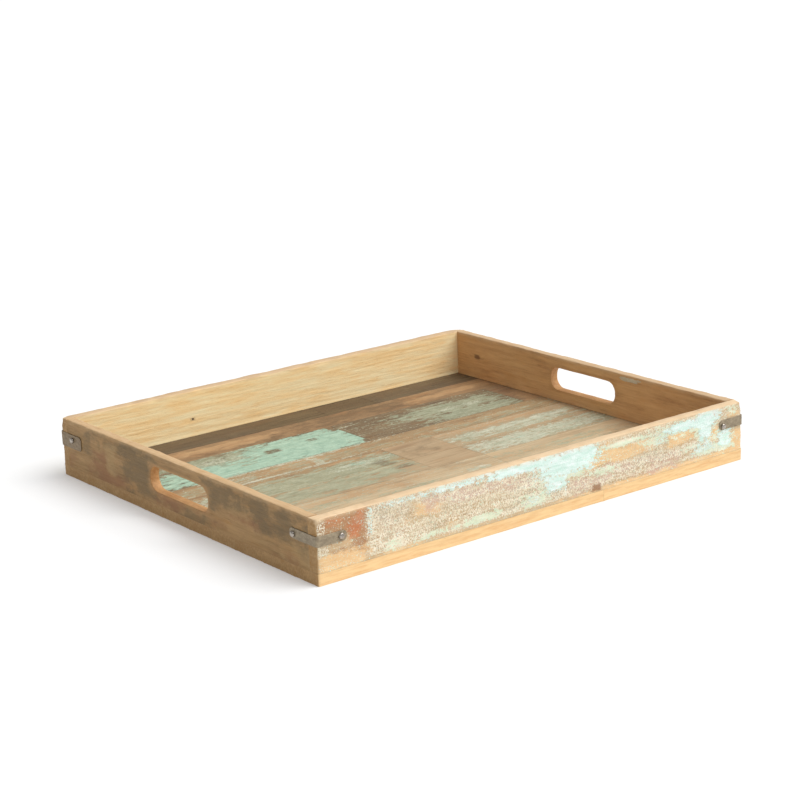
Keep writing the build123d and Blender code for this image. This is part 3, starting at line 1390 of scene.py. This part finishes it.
@dataclass
class FloorPlanks:
    """The planks of the floor, laid edge to edge."""

    edge_round: float = 0.12
    corner_round: float = 2.2
    wall: float = 9.0
    step_along: float = 3.2
    step_across: float = 1.15
    step_down: float = 1.6
    least_drop: float = 0.02
    uneven: float = 0.1
    top_skin: float = 3.0
    joint_reach: float = 2.5
    wear_reach: float = 2.0
    screw_radius: float = 3.5
    screw_tip: float = 1.2
    screw_depth: float = 3.4
    screw_below: float = 0.25
    screw_margin: float = 3.0
    weathering: Weathering = Weathering(
        edges=Rough(0.14, (11.0, 5.0, 5.0), 1.8),
        faces=Rough(0.35, (45.0, 18.0, 20.0)),
        fibres=Rough(0.24, (38.0, 1.9, 1.9), 1.8),
    )

    def make(self, node: str, finish: WoodFinish, drop: float, screws: list[Box]) -> None:
        """Makes one plank.

        Args:
            node: The CAD node that it stands for.
            finish: Its wood and paint.
            drop: How far its top lies below its neighbours' tops, in millimetres.
            screws: The boxes of all the floor screws.
        """
        box = Box.of(node)
        tray = Box.of_tray()
        piece = block(node.replace("floor_plank", "worn_plank"), box)
        round_edges(
            piece,
            lambda e: runs_along(e, 2)
            and all(
                min(abs(middle(e)[a] - tray.low[a]), abs(middle(e)[a] - tray.high[a])) < MM
                for a in (0, 1)
            ),
            self.corner_round,
            4,
        )
        round_edges(
            piece, lambda e: is_sharp(e) and self.shows(middle(e), tray), self.edge_round, 1
        )
        rule(piece, 0, self.step_along)
        rule(piece, 1, self.step_across)
        rule(piece, 2, self.step_down)
        top = box.high[2]
        skin = top - self.top_skin * MM
        with editing(piece):
            pick(piece, "VERT", lambda v: v.co.z > skin and self.shows(v.co, tray))
            bpy.ops.transform.translate(value=(0.0, 0.0, -drop * MM))
        joints = [
            (axis, corner[axis])
            for axis in (0, 1)
            for corner, outline in ((box.low, tray.low), (box.high, tray.high))
            if abs(corner[axis] - outline[axis]) > MM
        ]

        def worn(at: Vector) -> float:
            """Wears the upper edges that show.

            Args:
                at: The place.

            Returns:
                How worn it is.
            """
            sides = min((abs(at[axis] - place) for axis, place in joints), default=1.0)
            wear = edge_wear((top - at.z, sides), self.wear_reach)
            return wear if self.shows(at, tray) else 0.0

        def free(at: Vector) -> float:
            """Keeps the joints with the next planks and the walls tight.

            Args:
                at: The place.

            Returns:
                How clear it is of the joints.
            """
            gaps = [abs(at[axis] - place) for axis, place in joints]
            if not self.shows(at, tray):
                gaps.append(top - at.z)
            return clear_of(gaps, self.joint_reach)

        self.weathering.wear(piece, finish.seed, worn, free)
        margin = self.screw_margin * MM
        for screw in screws:
            centre = screw.centre
            if all(box.low[a] - margin < centre[a] < box.high[a] + margin for a in (0, 1)):
                cut(piece, self.screw_pocket(centre))
        hand_over(piece, finish.build(box), SLOTS[node], node)

    def shows(self, at: Vector, tray: Box) -> bool:
        """Says whether a place lies within the tray's walls."""
        wall = self.wall * MM
        return all(tray.low[a] + wall < at[a] < tray.high[a] - wall for a in (0, 1))

    def screw_pocket(self, centre: Vector) -> bpy.types.Object:
        """Makes the cone that cuts a countersink under a screw head.

        Args:
            centre: The middle of the screw, in metres.

        Returns:
            The cone.
        """
        deselect()
        bpy.ops.mesh.primitive_cone_add(
            vertices=24,
            radius1=self.screw_radius * MM,
            radius2=self.screw_tip * MM,
            depth=self.screw_depth * MM,
            location=(centre[0], centre[1], (self.screw_depth / 2 - self.screw_below) * MM),
        )
        return bpy.context.object

    def build(self) -> None:
        """Makes every plank of the floor."""
        screws = islands("floor_screws")
        for number, node in enumerate(nodes_of("floor_plank")):
            drop = self.least_drop + self.uneven * ((number * 7) % 5) / 4
            self.make(node, plank_finish(node, number), drop, screws)


@dataclass
class CornerStraps:
    """Bent steel straps round the corners, each held by two nails."""

    thickness: float = 0.8
    sunk: float = 0.35
    bend_round: float = 2.4
    bend_steps: int = 5
    step: float = 1.1
    corner_pull: float = 1.1
    pull_reach: float = 3.0
    edge_round: float = 0.14
    dents: Rough = Rough(0.22, (6.0, 6.0, 4.0), 1.6)

    def make(self, node: str, finish: bpy.types.Material) -> None:
        """Makes one strap: a leg, a bend and a second leg.

        Args:
            node: The CAD node that it stands for.
            finish: Its metal.
        """
        box = Box.of(node)
        right, back = box.centre[0] > 0, box.centre[1] > 0
        to_x, to_y = (1 if right else -1), (1 if back else -1)
        corner_x = (box.high[0] if right else box.low[0]) - to_x * self.sunk * MM
        free_x = box.low[0] if right else box.high[0]
        corner_y = (box.high[1] if back else box.low[1]) - to_y * self.sunk * MM
        free_y = box.low[1] if back else box.high[1]
        thick, bend = self.thickness * MM, self.bend_round * MM
        leg = sorted((free_x, corner_x - to_x * bend))
        skin = sorted((corner_y, corner_y - to_y * thick))
        piece = block(
            node.replace("corner_strap", "bent_strap"),
            Box((leg[0], skin[0], box.low[2]), (leg[1], skin[1], box.high[2])),
        )
        with editing(piece):
            pick(piece, "FACE", lambda f: f.normal[0] * to_x > 0.9)
            bpy.ops.mesh.spin(
                steps=self.bend_steps,
                angle=to_x * to_y * math.pi / 2,
                center=(corner_x - to_x * bend, corner_y - to_y * bend, 0.0),
                axis=(0.0, 0.0, 1.0),
            )
            run = abs(free_y - corner_y) - bend
            bpy.ops.mesh.extrude_region_move(
                TRANSFORM_OT_translate={"value": (0.0, -to_y * run, 0.0)}
            )
        for axis in range(3):
            rule(piece, axis, self.step)
        for up in (-1, 1):
            z = (box.high[2] if up > 0 else box.low[2]) / MM
            pull, reach = self.corner_pull, self.pull_reach
            end_x, end_y = (free_x / MM, corner_y / MM, z), (corner_x / MM, free_y / MM, z)
            press(piece, end_x, (to_x * pull, 0.0, -up * pull), reach)
            press(piece, end_y, (0.0, to_y * pull, -up * pull), reach)
        roughen(piece, self.dents, box.centre[0] * 90 + 4)
        round_edges(piece, is_sharp, self.edge_round, 1)
        hand_over(piece, finish, SLOTS[node], node)

    def build(self) -> None:
        """Makes the four straps."""
        for node in nodes_of("corner_strap"):
            finish = SteelFinish(f"{node}_steel", rusty=0.3)
            if node.endswith("back_left"):
                finish = replace(finish, bright="#978263", dark="#6f5b41", rusty=0.5)
            self.make(node, finish.build())


@dataclass
class StrapNails:
    """Dome-headed nails, one through each leg of each strap."""

    head_radius: float = 2.9
    head_height: float = 1.9
    head_skirt: float = 0.35
    shank_radius: float = 1.0
    shank_length: float = 9.0
    crown: float = 0.35
    point: float = 0.12
    taper: float = 2.0
    rings: int = 6
    sides: int = 28
    lean: float = 3.0
    dents: Rough = Rough(0.16, (2.6, 2.6, 2.6), 1.5)

    def blank(self) -> bpy.types.Object:
        """Makes one nail, pointing down -Z with its head above z = 0.

        Returns:
            The nail.
        """
        deselect()
        bpy.ops.mesh.primitive_circle_add(
            vertices=self.sides, radius=self.head_radius * MM, fill_type="NOTHING"
        )
        piece = bpy.context.object
        with editing(piece):
            bpy.ops.mesh.select_all(action="SELECT")
            rise = self.head_height - self.head_skirt
            turns = [step * math.pi / 2 / self.rings for step in range(self.rings)]
            dome = [
                (self.head_radius * math.cos(t), self.head_skirt + rise * math.sin(t))
                for t in turns
            ]
            self.draw((*dome, (self.crown, self.head_height - 0.02)))
            bpy.ops.mesh.edge_face_add()
            pick(piece, "EDGE", lambda e: e.is_boundary)
            tip = self.shank_length - self.taper
            shank = ((self.shank_radius, 0.0), (self.shank_radius, -tip))
            self.draw((*shank, (self.point, -self.shank_length)))
            bpy.ops.mesh.edge_face_add()
        return piece

    def draw(self, rings: Iterable[tuple[float, float]]) -> None:
        """Draws the head's selected rim on through a row of rings.

        Args:
            rings: The radius and height of each ring, in millimetres.
        """
        size, level = self.head_radius, 0.0
        for radius, height in rings:
            shift = (0.0, 0.0, (height - level) * MM)
            bpy.ops.mesh.extrude_region_move(TRANSFORM_OT_translate={"value": shift})
            scale = (radius / size, radius / size, 1.0)
            bpy.ops.transform.resize(value=scale, center_override=(0.0, 0.0, 0.0))
            size, level = radius, height

    def build(self) -> None:
        """Drives a nail into every place that the frame has one."""
        nails = []
        pattern = self.blank()
        for number, place in enumerate(islands("strap_nails")):
            centre = place.centre
            nail = pattern.copy()
            nail.data = pattern.data.copy()
            bpy.context.collection.objects.link(nail)
            outward = Vector((0.0, 0.0, 0.0))
            along = 0 if place.size[0] > place.size[1] else 1
            outward[along] = math.copysign(1.0, centre[along])
            seat = centre.copy()
            edge = place.high[along] if centre[along] > 0 else place.low[along]
            seat[along] = edge - outward[along] * self.head_height * MM
            turn = outward.to_track_quat("Z", "Y")
            spin = Quaternion((0.0, 0.0, 1.0), number * 0.9)
            tilt = math.radians(self.lean * math.sin(number * 2.1))
            lean = Quaternion((1.0, 0.0, 0.0), tilt)
            nail.matrix_world = (turn @ spin @ lean).to_matrix().to_4x4()
            nail.matrix_world.translation = seat
            nails.append(nail)
        bpy.data.objects.remove(pattern)
        deselect()
        for nail in nails:
            nail.select_set(True)
        bpy.context.view_layer.objects.active = nails[0]
        bpy.ops.object.transform_apply(location=True, rotation=True, scale=True)
        bpy.ops.object.join()
        piece = bpy.context.object
        piece.name = piece.data.name = "dome_nails"
        roughen(piece, self.dents, 3.0)
        finish = SteelFinish(
            "nail_steel", "#cfc7bd", "#6a5f56", rusty=0.15, metal=0.85, polish=0.9
        ).build()
        hand_over(piece, finish, SLOTS["strap_nails"], "strap_nails")


@dataclass
class HiddenFasteners:
    """Floor screws and corner pins, which keep their CAD shapes."""

    def build(self) -> None:
        """Gives the screws and the pins their metal."""
        finishes = {
            "floor_screws": SteelFinish("screw_zinc", "#b8ad8c", "#85775a", rusty=0.2, polish=0.6),
            "corner_pins": SteelFinish("pin_wire", "#8f8f8f", "#5c5a58", rusty=0.2),
        }
        for node, finish in finishes.items():
            piece = frame["nodes"][node]
            piece.data.materials.clear()
            piece.data.materials.append(finish.build())
            log.info("%s: kept, %s", node, finish.name)


# --------------------------------------------------------------------------
# Studio
# --------------------------------------------------------------------------


@dataclass
class Studio:
    """A pale floor, soft lights and the camera."""

    camera_place: Point = (-1.1450, -1.5233, 0.5971)
    camera_turn: float = 37.01
    camera_dip: float = 15.54
    camera_roll: float = -2.33
    lens: float = 92.4
    sensor: float = 36.0
    clip: tuple[float, float] = (0.05, 60.0)
    floor_size: float = 60.0
    floor_drop: float = 0.2
    sky: float = 0.42
    floor_glow: float = 0.24
    key_from: Point = (0.40, -0.45, 0.80)
    key_spread: float = 55.0
    key_strength: float = 2.8

    def build(self) -> None:
        """Sets up the whole studio."""
        self.build_floor()
        self.build_lights()
        self.build_camera()
        bpy.context.scene.view_settings.view_transform = "Standard"
        bpy.context.scene.view_settings.look = "None"

    def build_floor(self) -> None:
        """Lays a large pale floor just under the tray."""
        deselect()
        under = (0.0, 0.0, -self.floor_drop * MM)
        bpy.ops.mesh.primitive_plane_add(size=self.floor_size, location=under)
        floor = bpy.context.object
        floor.name = "studio_floor"
        bpy.ops.object.transform_apply(location=True, rotation=True, scale=True)
        shader = Shader("studio_white")
        surface = shader.node(
            "ShaderNodeBsdfPrincipled",
            inputs={
                "Base Color": linear("#dedede"),
                "Roughness": 0.9,
                "Emission Color": linear("#ffffff"),
                "Emission Strength": self.floor_glow,
            },
        )
        floor.data.materials.append(shader.end(surface))

    def build_lights(self) -> None:
        """Sets the soft key light and the even light of the room."""
        light = bpy.data.lights.new("key_light", "SUN")
        light.angle = math.radians(self.key_spread)
        light.energy = self.key_strength
        lamp = bpy.data.objects.new("key_light", light)
        bpy.context.collection.objects.link(lamp)
        lamp.location = self.key_from
        lamp.rotation_mode = "QUATERNION"
        lamp.rotation_quaternion = (-Vector(self.key_from)).to_track_quat("-Z", "Y")
        world = bpy.data.worlds.new("room")
        world.use_nodes = True
        background = world.node_tree.nodes["Background"]
        background.inputs["Color"].default_value = (1.0, 1.0, 1.0, 1.0)
        background.inputs["Strength"].default_value = self.sky
        bpy.context.scene.world = world

    def build_camera(self) -> None:
        """Puts the camera at the front left corner, a little above the tray."""
        data = bpy.data.cameras.new("camera")
        data.lens = self.lens
        data.sensor_width = self.sensor
        data.clip_start, data.clip_end = self.clip
        camera = bpy.data.objects.new("camera", data)
        bpy.context.collection.objects.link(camera)
        turn, dip = math.radians(self.camera_turn), math.radians(self.camera_dip)
        ahead = Vector(
            (math.sin(turn) * math.cos(dip), math.cos(turn) * math.cos(dip), -math.sin(dip))
        )
        roll = Quaternion((0.0, 0.0, 1.0), math.radians(self.camera_roll))
        camera.location = self.camera_place
        camera.rotation_mode = "QUATERNION"
        camera.rotation_quaternion = ahead.to_track_quat("-Z", "Y") @ roll
        bpy.context.scene.camera = camera


# --------------------------------------------------------------------------
# This tray's wood and paint
# --------------------------------------------------------------------------

SLOTS: dict[str, str] = {
    part["node"]: part["material_slot"] for part in frame["record"]["subparts"]
}

FRONT_BOARD = WoodFinish(
    name="front_board_wood",
    wood=Wood.BISCUIT.value,
    face=Face.FRONT,
    seed=2.0,
    rim=Wood.PALE.value,
    # a strong painted shade along the lower edge, where the board meets the floor
    grime_and_shade=0.7,
    mottle=0.3,
    coats=(
        stain(
            "#b48359", "#98683f",
            Patch(24, 8, 34, 12, 0.95), Patch(36, 30, 18, 12, 0.5), Patch(26, 36, 8, 5, 0.6),
            Patch(44, 16, 8, 22, 0.7), strength=0.8,
        ),
        stain(
            "#cf7a45", "#b8683c", Patch(38, 19, 6, 7, 1.0), Patch(46, 9, 6, 13, 0.8),
            Patch(27, 37, 6, 3, 0.4), Patch(18, 6, 12, 4, 0.4), strength=0.75,
        ),
        stain(
            "#f3d09c", "#e3b780",
            Patch(112, 18, 20, 9, 0.9), Patch(330, 18, 42, 8, 1.1), Patch(318, 8, 10, 4, 0.8),
            Patch(420, 19, 22, 7, 1.0), Patch(462, 24, 9, 7, 1.0), Patch(488, 38, 20, 12, 1.1),
            Patch(488, 8, 10, 5, 0.7), Patch(8, 40, 12, 7, 0.8), Patch(38, 40, 16, 7, 0.8),
            Patch(135, 38, 14, 4, 0.5),
            Patch(60, 46, 60, 4, 0.5), Patch(400, 47, 110, 3, 0.9), strength=0.85,
        ),
        stain(
            "#d6b0a0", "#c29c8c",
            Patch(175, 15, 50, 7, 0.8), Patch(225, 19, 16, 5, 0.9), Patch(130, 9, 30, 6, 0.4),
            Patch(290, 36, 24, 9, 0.7), Patch(350, 34, 46, 10, 0.6), Patch(405, 37, 26, 9, 0.7),
            Patch(75, 22, 26, 16, 0.4), strength=0.7,
        ),
        stain(
            "#bfb49c", "#a59a82",
            Patch(75, 10, 26, 9, 0.7), Patch(240, 17, 24, 8, 0.6), Patch(240, 36, 40, 10, 0.6),
            Patch(375, 30, 30, 7, 0.6), Patch(100, 34, 40, 10, 0.3), strength=0.6,
        ),
        # cream undercoat, worn to specks
        Coat(
            "#fdf4de", "#dccbaa", cover=0.52,
            patches=(
                Patch(26, 22, 28, 40, -0.9), Patch(4, 8, 6, 9, 0.7), Patch(6, 29, 8, 5, 0.9),
                Patch(55, 24, 5, 24, 0.35), Patch(112, 18, 18, 8, -0.35),
                Patch(330, 18, 40, 7, -0.75),
                Patch(318, 8, 9, 4, -0.5), Patch(420, 19, 20, 6, -0.8), Patch(462, 24, 8, 6, -0.7),
                Patch(490, 38, 22, 16, -0.9), Patch(488, 9, 9, 6, -0.5),
                Patch(250, 47, 260, 2.2, -0.8),
                Patch(130, 38, 12, 4, -0.3), Patch(240, 1, 250, 1.2, -0.25),
                Patch(80, 40, 10, 5, 0.3),
                Patch(340, 8, 24, 2.4, 0.7), Patch(400, 46, 100, 3.2, -0.5),
            ),
            flake=4.5, stretch=1.5, spread=0.2, speckle=1.0, speck=1.45, speck_stretch=0.62,
            soft=0.12, thickness=0.14,
        ),
        # pale green that was laid over it
        Coat(
            "#f3f4dc", "#d5e4c2",
            patches=(
                Patch(78, 41, 10, 4, 0.7), Patch(124, 41, 12, 3, 0.75),
                Patch(178, 40, 22, 3.6, 0.75), Patch(162, 42, 22, 2, 0.6),
                Patch(236, 38, 18, 6, 0.8), Patch(110, 43, 9, 2, 0.5), Patch(345, 9, 26, 2.6, 0.8),
                Patch(385, 12, 16, 8, 0.6), Patch(460, 39, 24, 4, 0.9), Patch(486, 5, 8, 5, 0.7),
                Patch(322, 30, 12, 4, 0.6), Patch(430, 31, 12, 4, 0.5), Patch(270, 24, 26, 4, 0.5),
                Patch(428, 12, 32, 8, 0.5), Patch(450, 18, 15, 19, 0.5),
                Patch(476, 31, 14, 13, 0.55),
                Patch(278, 15, 42, 14, 0.5),
            ),
            flake=3.4, stretch=1.8, spread=0.4, speckle=0.7, speck=1.4, soft=0.24, strength=0.88,
            thickness=0.15, ragged=0.6,
        ),
        # bright mint that still holds
        Coat(
            "#f7fffc", "#c9ebdb",
            patches=(
                Patch(150, 3.5, 34, 4, 0.72), Patch(88, 3.5, 26, 3, 0.5),
                Patch(218, 5.5, 36, 4.5, 1.1),
                Patch(276, 12, 34, 11, 1.35), Patch(262, 29, 13, 7, 0.9), Patch(303, 8, 9, 6, 0.6),
                Patch(424, 9, 24, 5, 1.1), Patch(450, 14, 9, 15, 1.1), Patch(462, 7, 9, 7, 0.8),
                Patch(476, 31, 9, 9, 0.9), Patch(448, 36, 14, 4, 0.6), Patch(393, 14, 9, 6, 0.4),
                Patch(55, 14, 3, 14, 0.4), Patch(234, 38, 8, 4, 0.4),
            ),
            flake=3.6, stretch=1.5, spread=0.26, speckle=0.8, speck=1.3, speck_stretch=1.0,
            soft=0.2, thickness=0.22, roughness=0.5, ragged=0.4,
        ),
        Coat(
            "#a87c54", "#8a6242", patches=(Patch(311, 43.6, 5.4, 3.0, 1.0),), flake=3.0,
            spread=0.25, thickness=-0.3, soft=0.3, strength=0.85, ragged=0.5, slope=1.1,
        ),
    ),
)  # fmt: skip

BACK_BOARD = WoodFinish(
    name="back_board_wood",
    wood=Wood.HONEY.value,
    face=Face.BACK,
    seed=5.0,
    rim=Wood.PLANED.value,
    ring=5.0,
    rings=0.1,
    mottle=0.3,
    holes=(Mark(143, 30, 1.0),),
)

LEFT_BOARD = WoodFinish(
    name="left_board_wood",
    wood=Wood.DULL.value,
    face=Face.LEFT,
    grain=Grain.ALONG_Y,
    seed=7.0,
    rim=Wood.RUBBED.value,
    mottle=1.0,
    hand_hole=True,
    coats=(
        stain(
            "#5f523a", "#74623f",
            Patch(145, 22, 26, 24, 0.95), Patch(50, 16, 18, 11, 0.6), Patch(108, 8, 34, 6, 0.6),
            Patch(284, 14, 24, 13, 0.8), Patch(330, 10, 22, 12, 0.5), Patch(375, 18, 44, 15, 0.75),
            Patch(240, 45, 34, 7, 0.6), Patch(418, 30, 12, 16, 0.4), strength=0.68,
        ),
        stain(
            "#95613c", "#85573a",
            Patch(75, 28, 15, 9, 0.7), Patch(90, 43, 36, 8, 0.8), Patch(200, 41, 20, 7, 1.0),
            Patch(322, 26, 24, 7, 0.6), Patch(395, 44, 30, 7, 0.5), Patch(20, 34, 12, 14, 0.4),
            Patch(270, 40, 30, 6, 0.4), strength=0.6,
        ),
        stain(
            "#b99a6a", "#a68755", Patch(93, 24, 10, 13, 0.9), Patch(312, 22, 14, 5, 0.6),
            Patch(35, 44, 20, 6, 0.4), Patch(355, 38, 20, 5, 0.4),
            Patch(410, 40, 26, 9, 0.8), Patch(165, 8, 30, 5, 0.3), strength=0.6,
        ),
    ),
)  # fmt: skip

RIGHT_BOARD = WoodFinish(
    name="right_board_wood",
    wood=Wood.AMBER.value,
    face=Face.RIGHT,
    grain=Grain.ALONG_Y,
    seed=9.0,
    rim=Wood.PLANED.value,
    mottle=0.8,
    knots=(Mark(45, 24, 3.0),),
    hand_hole=True,
    coats=(
        Coat(
            "#e2d8c2", "#cdbfa3", patches=(Patch(286, 5, 15, 2.4, 0.9),), flake=2.4, spread=0.3,
            speckle=0.2,
        ),
    ),
)  # fmt: skip


def dark(*patches: Patch, strength: float = 0.7) -> Coat:
    """Describes dark brown places: stains and bruises in the wood, and painted shade at the back of
    the floor.
    """
    return stain("#57462f", "#6a5238", *patches, strength=strength)


# Paint, stains and painted shade on the floor. A patch belongs to the plank under its middle.
FLOOR_PAINT: tuple[Coat, ...] = (
    # dark brown stains and bruises; the wide patches in the back rows are partly painted shade
    dark(
        Patch(140, 24, 90, 26, 0.7), Patch(330, 20, 100, 22, 0.8), Patch(290, 62, 90, 18, 0.75),
        Patch(140, 74, 60, 6, 0.5), Patch(280, 214, 26, 20, 0.4), Patch(462, 46, 40, 14, 0.5),
        Patch(150, 90, 60, 3, 0.4), Patch(300, 96, 40, 20, 0.6), Patch(228, 242, 22, 5, 0.8),
        Patch(100, 196, 14, 5, 0.3), Patch(435, 178, 40, 4, 0.4), Patch(470, 300, 24, 8, 0.4),
        Patch(345, 150, 22, 8, 0.5), Patch(60, 120, 26, 30, 0.5), Patch(30, 250, 26, 20, 0.4),
        Patch(120, 350, 60, 12, 0.5), Patch(360, 372, 50, 9, 0.5), strength=0.6,
    ),
    # orange-brown places in the wood
    stain(
        "#cda87a", "#b88b60",
        Patch(125, 62, 60, 10, 0.7), Patch(200, 66, 60, 8, 0.5), Patch(430, 66, 50, 7, 0.8),
        Patch(175, 166, 60, 9, 0.8), Patch(380, 170, 110, 6, 0.5), Patch(390, 191, 90, 5, 0.9),
        Patch(212, 191, 36, 5, 0.8), Patch(150, 282, 70, 8, 0.7), Patch(400, 288, 90, 8, 0.5),
        Patch(482, 140, 10, 28, 0.8), Patch(240, 276, 40, 6, 0.4), Patch(300, 345, 90, 9, 0.6),
        Patch(90, 385, 70, 8, 0.6), Patch(420, 340, 60, 8, 0.5),
        strength=0.6,
    ),
    # grey-green paint that has almost worn into the wood
    Coat(
        "#bcc1a3", "#8c9377",
        patches=(
            Patch(115, 114, 60, 34, 1.0), Patch(395, 112, 80, 16, 0.9),
            Patch(190, 168, 80, 8, 0.42),
            Patch(400, 173, 90, 8, 0.45), Patch(390, 289, 80, 8, 0.4), Patch(410, 140, 64, 14, 1.0),
            Patch(150, 212, 110, 20, 1.1), Patch(130, 246, 110, 18, 0.9),
            Patch(110, 288, 50, 6, 0.4),
            Patch(60, 170, 40, 9, 0.5), Patch(420, 250, 90, 18, 0.7),
            Patch(400, 212, 90, 14, 0.6), Patch(100, 330, 70, 14, 0.8),
            Patch(180, 372, 110, 14, 0.7),
            Patch(380, 405, 90, 10, 0.6), Patch(200, 300, 36, 4, 0.6),
        ),
        flake=6.0, stretch=2.8, spread=0.5, speckle=0.4, speck=1.3, speck_stretch=2.2,
        printed=0.4, soft=0.34, strength=0.75, thickness=0.04, roughness=0.66, ragged=0.5,
    ),
    # whitish paint left in specks and ridges
    Coat(
        "#dfddc6", "#adb195",
        patches=(
            Patch(170, 153.4, 112, 3.6, 0.66), Patch(140, 182, 92, 3.4, 0.62),
            Patch(100, 170, 14, 12, 0.35),
            Patch(184, 170, 6, 12, 0.6), Patch(214, 208, 36, 9, 0.5), Patch(385, 208, 80, 7, 0.75),
            Patch(400, 219, 70, 5, 0.55), Patch(352, 250, 42, 18, 0.75),
            Patch(430, 246, 60, 18, 0.62),
            Patch(452, 205, 24, 6, 0.5), Patch(118, 104, 36, 10, 0.5), Patch(405, 117, 26, 5, 0.5),
            Patch(280, 297, 16, 4, 0.8), Patch(300, 330, 90, 14, 0.4), Patch(240, 405, 70, 8, 0.5),
            Patch(40, 205, 34, 12, 0.5),
        ),
        flake=3.8, stretch=2.4, spread=0.42, speckle=0.75, speck=1.4, speck_stretch=2.0,
        printed=0.34, soft=0.24, strength=0.85, thickness=0.14, ragged=0.5,
    ),
    # mint paint that still holds in places
    Coat(
        "#bed8bf", "#8cac95",
        patches=(
            Patch(206, 122, 66, 38, 1.3), Patch(120, 140, 60, 16, 1.0),
            Patch(100, 122, 40, 10, 0.6),
            Patch(171, 113, 10, 6, -1.0), Patch(222, 107, 8, 4.5, -0.85),
            Patch(131, 130, 13, 4, -0.9),
            Patch(120, 94, 34, 5, -0.3), Patch(262, 90, 7, 7, -1.0), Patch(262, 152, 6, 6, -0.8),
            Patch(60, 130, 40, 24, 0.8), Patch(214, 205, 14, 5, 0.35), Patch(370, 244, 10, 7, 0.3),
            Patch(460, 405, 40, 8, 0.7), Patch(90, 340, 40, 6, 0.5),
        ),
        flake=5.0, stretch=2.8, spread=0.5, speckle=0.36, speck_stretch=2.0, printed=0.34,
        soft=0.24, strength=1.0, thickness=0.2, roughness=0.55, ragged=0.4,
    ),
    dark(
        Patch(171, 113, 8, 5, 0.7), Patch(223, 107, 6, 3, 0.5), Patch(226, 219, 8, 8, 1.0),
        Patch(228, 228, 7, 4, 0.5), strength=0.5,
    ),
)  # fmt: skip

PLANK_WOOD: dict[str, Wood] = {
    # the back row is darker partly as painted shade along the back board
    "01_left": Wood.SLATE,
    "01_right": Wood.SLATE,
    "02_full": Wood.CHESTNUT,
    "03_left": Wood.UMBER,
    "03_middle": Wood.UMBER,
    "03_right": Wood.RUSSET,
    "04_full": Wood.OAK,
    "05_left": Wood.OAK,
    "05_middle": Wood.SAND,
    "05_right": Wood.SAND,
    "06_left": Wood.SAND,
    "06_middle": Wood.SAND,
    "06_right": Wood.SAND,
    "07_left": Wood.TAN,
    "07_right": Wood.TAN,
    "08_left": Wood.SAND,
    "08_right": Wood.TAN,
    "09_left": Wood.OAK,
    "09_right": Wood.SAND,
    "10_left": Wood.TAN,
    "10_right": Wood.TAN,
}


def plank_finish(node: str, number: int) -> WoodFinish:
    """Describes one floor plank and picks the patches of paint that lie on it.

    Args:
        node: The plank's CAD node.
        number: The plank's place in the list of planks.

    Returns:
        The plank's finish.
    """
    box, tray = Box.of(node), Box.of_tray()
    name = node.removeprefix("floor_plank_")

    def lies_on(patch: Patch) -> bool:
        """Says whether a patch's middle is on the plank.

        Args:
            patch: The patch.

        Returns:
            True if it is.
        """
        x = tray.low[0] + patch.along * MM
        y = tray.high[1] - patch.across * MM
        return box.low[0] <= x <= box.high[0] and box.low[1] <= y <= box.high[1]

    chosen = ((coat, tuple(filter(lies_on, coat.patches))) for coat in FLOOR_PAINT)
    return WoodFinish(
        name=f"plank_{name}_wood",
        wood=PLANK_WOOD[name].value,
        face=Face.TOP,
        seed=11.0 + number * 1.7,
        coats=tuple(replace(coat, patches=patches) for coat, patches in chosen if patches),
        sawn=Wood.PINE.value if name.startswith(("01", "10")) else None,
        mottle=0.9,
    )


def main() -> None:
    """Builds the tray's pieces in order."""
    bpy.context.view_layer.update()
    pieces = (SideBoards(), EndBoards(), FloorPlanks(), CornerStraps(), StrapNails())
    for assembly in (Studio(), *pieces, HiddenFasteners()):
        log.info("building %s", type(assembly).__name__)
        assembly.build()
    deselect()


if __name__ == "__main__":
    logging.basicConfig(level=logging.INFO, format="%(message)s")
    main()
